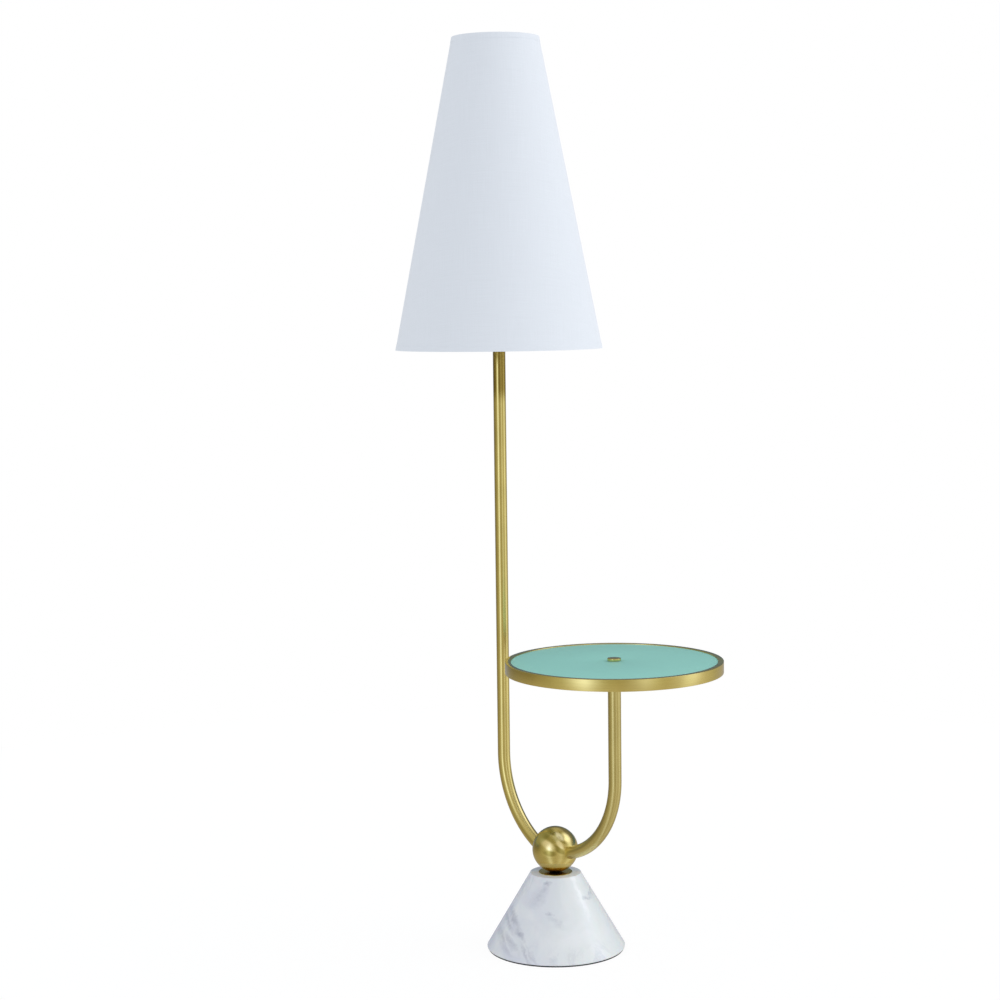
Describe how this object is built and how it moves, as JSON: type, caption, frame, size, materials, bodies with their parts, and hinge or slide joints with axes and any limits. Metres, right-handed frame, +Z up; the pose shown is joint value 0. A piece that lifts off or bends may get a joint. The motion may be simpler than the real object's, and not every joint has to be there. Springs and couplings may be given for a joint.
{
  "type": "floor lamp with table",
  "caption": "Tall floor lamp on a marble cone and brass ball, with a bent brass stem to a tapered linen shade and a second bent arm to a round glass-topped side table.",
  "frame": {"origin": "on the floor, under the centre of the marble cone", "axes": "+Z up, +X from the base's axis towards the table, -X towards the stem and shade"},
  "size_m": [0.6548, 0.366, 1.583],
  "materials": {
    "brass": "brushed satin",
    "brass_fitting": "polished",
    "marble": "polished white stone with grey veins",
    "teal_glass": "clear glass painted on its underside",
    "bulb_glass": "frosted",
    "linen": "fine plain weave",
    "styrene": "matte film",
    "white_wire": "white powder coat",
    "pad": "matte",
    "steel": "zinc plated",
    "white_plate": "white powder coat",
    "board": "bare fibreboard",
    "black_plastic": "moulded",
    "fibre": "pressed fibre",
    "lead_sheath": "smooth",
    "clear_rubber": "soft",
    "aluminium": "bright"
  },
  "bodies": {
    "stand": {"floor_pad": "pad", "marble_base": "marble", "base_washer": "steel", "lock_washer": "steel", "base_nut": "steel", "tie_rod": "steel", "seat_disc": "brass", "cord_bushing": "black_plastic", "supply_lead": "lead_sheath", "ball": "brass", "ball_grub_screws": "steel", "stem_tube": "brass", "arm_tube": "brass", "stem_top_bush": "brass_fitting", "socket_nipple": "steel", "check_ring": "brass", "nipple_nut": "steel", "harp_saddle": "brass_fitting", "harp": "brass_fitting", "socket_cap": "brass_fitting", "socket_shell": "brass_fitting", "socket_liner": "fibre", "socket_body": "black_plastic", "screw_shell": "brass_fitting", "centre_contact": "brass_fitting", "terminal_screws": "steel", "table_flange": "steel", "flange_screws": "steel", "flange_grub_screws": "steel", "arm_plug": "brass_fitting", "table_plate": "white_plate", "table_core": "board", "glass_pads": "clear_rubber", "table_glass": "teal_glass", "table_rim": "brass", "table_stud": "steel", "cap_washer": "clear_rubber", "table_cap": "brass"},
    "switch": {"switch_shaft": "steel", "switch_knob": "black_plastic"},
    "bulb": {"bulb_glass": "bulb_glass", "bulb_base": "aluminium", "bulb_contact": "steel"},
    "shade": {"shade_linen": "linen", "shade_liner": "styrene", "shade_spider": "white_wire", "bottom_ring": "white_wire", "top_hem": "linen", "bottom_hem": "linen"},
    "finial": {"finial": "brass"},
    "front_sleeve": {"front_sleeve": "brass_fitting"},
    "rear_sleeve": {"rear_sleeve": "brass_fitting"}
  },
  "joints": [
    {"name": "knob_turn", "type": "hinge", "parent": "stand", "child": "switch", "pos_m": [-0.117, 0, 1.309], "axis": [1, 0, 0], "continuous": true},
    {"name": "bulb_lift", "type": "slide", "parent": "stand", "child": "bulb", "axis": [0, 0, 1], "range_m": [0, 0.03]},
    {"name": "shade_lift", "type": "slide", "parent": "stand", "child": "shade", "axis": [0, 0, 1], "range_m": [0, 0.56]},
    {"name": "finial_turn", "type": "hinge", "parent": "shade", "child": "finial", "pos_m": [-0.136, 0, 1.532], "axis": [0, 0, 1], "continuous": true},
    {"name": "front_sleeve_lift", "type": "slide", "parent": "stand", "child": "front_sleeve", "axis": [0, 0, 1], "range_m": [0, 0.012]},
    {"name": "rear_sleeve_lift", "type": "slide", "parent": "stand", "child": "rear_sleeve", "axis": [0, 0, 1], "range_m": [0, 0.012]}
  ]
}
